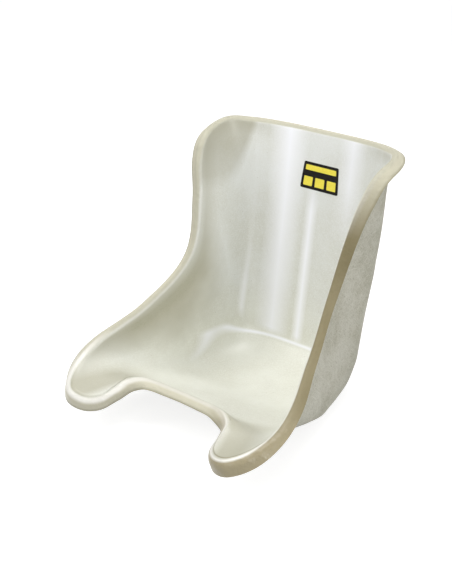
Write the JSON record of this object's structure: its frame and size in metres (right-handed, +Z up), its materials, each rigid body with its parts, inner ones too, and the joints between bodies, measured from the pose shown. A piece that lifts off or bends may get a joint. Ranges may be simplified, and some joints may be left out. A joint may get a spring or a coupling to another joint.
{
  "type": "racing seat",
  "caption": "Laminated kart bucket seat with raised side walls, an outward rolled lip and a notched front edge between the thigh lobes.",
  "frame": {"origin": "middle of the seat, left to right and front to back, at the flat ground under the pan", "axes": "+Z up, -Y the way the sitter faces, +Y towards the back, +X the sitter's left"},
  "size_m": [0.4982, 0.555, 0.5019],
  "materials": {
    "gel_coat": "satin",
    "laminate": "matt, faint chopped strands",
    "roving": "matt",
    "patch_mat": "matt",
    "label_film": "gloss",
    "label_ink": "gloss"
  },
  "bodies": {
    "root": {"gel_skin": "gel_coat", "mat_shell": "laminate", "lip_rope_left": "roving", "lip_rope_right": "roving", "middle_patch": "patch_mat", "stay_patch_rear_left": "patch_mat", "stay_patch_rear_right": "patch_mat", "stay_patch_front_left": "patch_mat", "stay_patch_front_right": "patch_mat", "label_film": "label_film", "label_print": "label_ink"}
  },
  "joints": []
}
